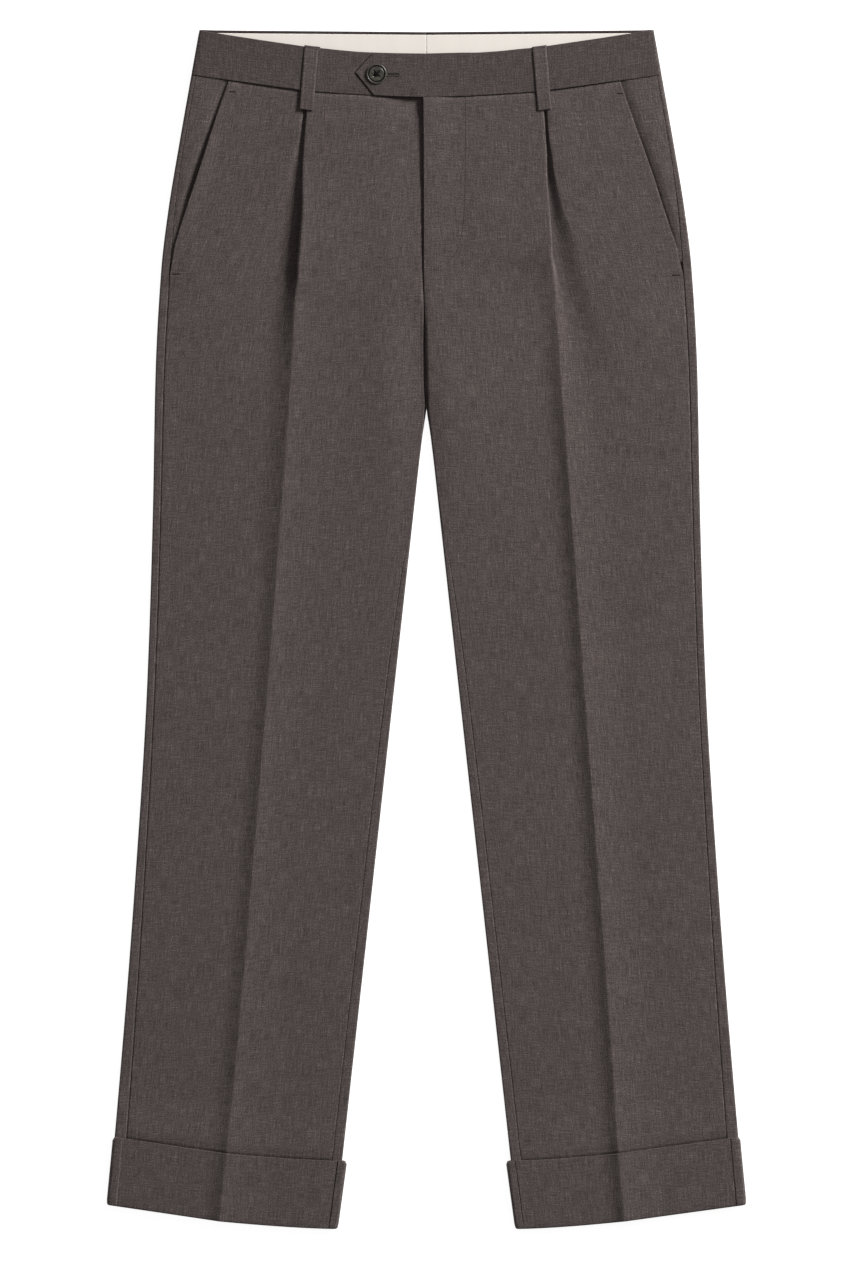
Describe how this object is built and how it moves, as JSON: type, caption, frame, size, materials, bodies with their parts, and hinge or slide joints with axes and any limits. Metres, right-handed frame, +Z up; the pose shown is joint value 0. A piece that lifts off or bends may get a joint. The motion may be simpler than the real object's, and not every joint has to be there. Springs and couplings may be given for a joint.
{
  "type": "pleated dress trousers laid flat",
  "caption": "Single-pleat dress trousers with slant pockets, a pointed button tab, belt loops and turn-ups, laid flat and front up.",
  "frame": {"origin": "middle of the laid-out trousers, on the surface they lie on", "axes": "+Y from the hems to the waist, +Z up out of the front, +X to the wearer's left"},
  "size_m": [0.5892, 1.1031, 0.012],
  "materials": {
    "cloth": "warm grey-brown tropical wool, plain weave with slight slubs, pressed",
    "lining": "cream cotton waistband lining",
    "button": "dark brown horn-like resin, satin"
  },
  "bodies": {
    "root": {"back_left": "cloth", "back_right": "cloth", "cuff_back_left": "cloth", "cuff_back_right": "cloth", "cuff_front_left": "cloth", "cuff_front_right": "cloth", "facing_left": "cloth", "facing_right": "cloth", "front_left": "cloth", "front_right": "cloth", "loop_back": "cloth", "loop_front_left": "cloth", "loop_front_right": "cloth", "loop_side_left": "cloth", "loop_side_right": "cloth", "waistband_left": "cloth", "waistband_right": "cloth", "lining_left": "lining", "lining_right": "lining", "button": "button"}
  },
  "joints": []
}
